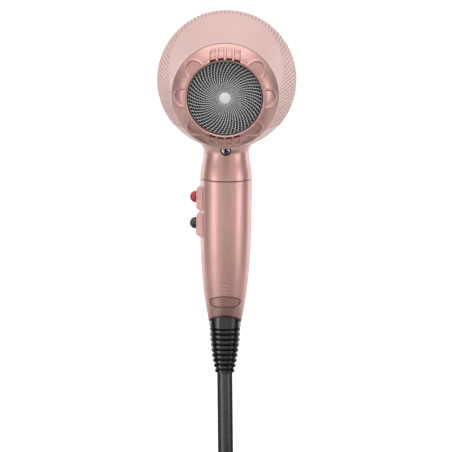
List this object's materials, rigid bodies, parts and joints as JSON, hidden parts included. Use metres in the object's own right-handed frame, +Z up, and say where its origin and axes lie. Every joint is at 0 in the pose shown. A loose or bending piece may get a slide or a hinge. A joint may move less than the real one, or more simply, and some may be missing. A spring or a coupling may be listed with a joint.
{
  "type": "hair dryer",
  "caption": "Hand-held hair dryer with a round ribbed barrel, twist-off filter cap, straight grip with side sliders and a press flap, ribbed cord guard and a coiled mains cord.",
  "frame": {"origin": "centre of the hand grip, on the grip's axis", "axes": "+Z up the grip towards the barrel, +Y forward towards the outlet, +X to the right seen from behind; the sliders face -X"},
  "size_m": [0.0886, 0.1893, 0.49],
  "materials": {
    "pink_shell": "satin light pink moulding",
    "rose_shell": "pearl rose lacquer",
    "black_plastic": "matt black moulding",
    "red_plastic": "gloss red",
    "white_plastic": "matt off-white",
    "steel": "bright steel",
    "motor_steel": "plated steel can",
    "brass_blades": "plain brass",
    "mica": "matt mica board",
    "cord_rubber": "satin dark grey rubber",
    "tie_fabric": "woven strap"
  },
  "bodies": {
    "body": {"barrel_shell": "pink_shell", "nose_shell": "pink_shell", "outlet_collar": "black_plastic", "outlet_grille": "black_plastic", "fan_shroud": "black_plastic", "motor_can": "motor_steel", "motor_end_bell": "black_plastic", "heater_sleeve": "mica", "heater_cross": "mica", "heater_coil": "steel", "thermostat": "black_plastic", "thermal_fuse": "white_plastic", "neck_sleeve": "black_plastic", "neck_screw": "steel", "screw_cup": "black_plastic", "grip_rear_shell": "rose_shell", "grip_front_shell": "rose_shell", "grip_screws": "steel", "heat_pod": "rose_shell", "speed_pod": "rose_shell", "heat_switch": "white_plastic", "speed_switch": "white_plastic", "flap_switch": "black_plastic", "cord_clamp": "black_plastic", "clamp_screws": "steel", "lead_wires": "cord_rubber", "cord_guard": "cord_rubber", "cord_inner_end": "cord_rubber", "mains_cord": "cord_rubber", "cord_coil": "cord_rubber", "cord_tie": "tie_fabric", "cord_tail": "cord_rubber", "plug_body": "cord_rubber", "plug_blades": "brass_blades"},
    "fan": {"fan_impeller": "black_plastic", "motor_shaft": "steel"},
    "cap": {"rear_cap": "pink_shell", "filter_screen": "steel"},
    "heat_slider": {"heat_slider": "red_plastic"},
    "speed_slider": {"speed_slider": "black_plastic"},
    "flap": {"press_flap": "rose_shell"}
  },
  "joints": [
    {"name": "fan_spin", "type": "hinge", "parent": "body", "child": "fan", "pos_m": [0, 0, 0.11], "axis": [0, 0.9945, 0.1045], "continuous": true},
    {"name": "cap_twist", "type": "hinge", "parent": "body", "child": "cap", "pos_m": [0, 0, 0.11], "axis": [0, 0.9945, 0.1045], "range_deg": [0, 48]},
    {"name": "heat_slide", "type": "slide", "parent": "body", "child": "heat_slider", "axis": [0, 0, 1], "range_m": [-0.0028, 0.0014]},
    {"name": "speed_slide", "type": "slide", "parent": "body", "child": "speed_slider", "axis": [0, 0, 1], "range_m": [-0.0028, 0.0014]},
    {"name": "flap_press", "type": "hinge", "parent": "body", "child": "flap", "pos_m": [0, -0.01136, -0.034], "axis": [-1, 0, 0], "range_deg": [0, 5], "stiffness_Nm_per_rad": 0.1}
  ]
}
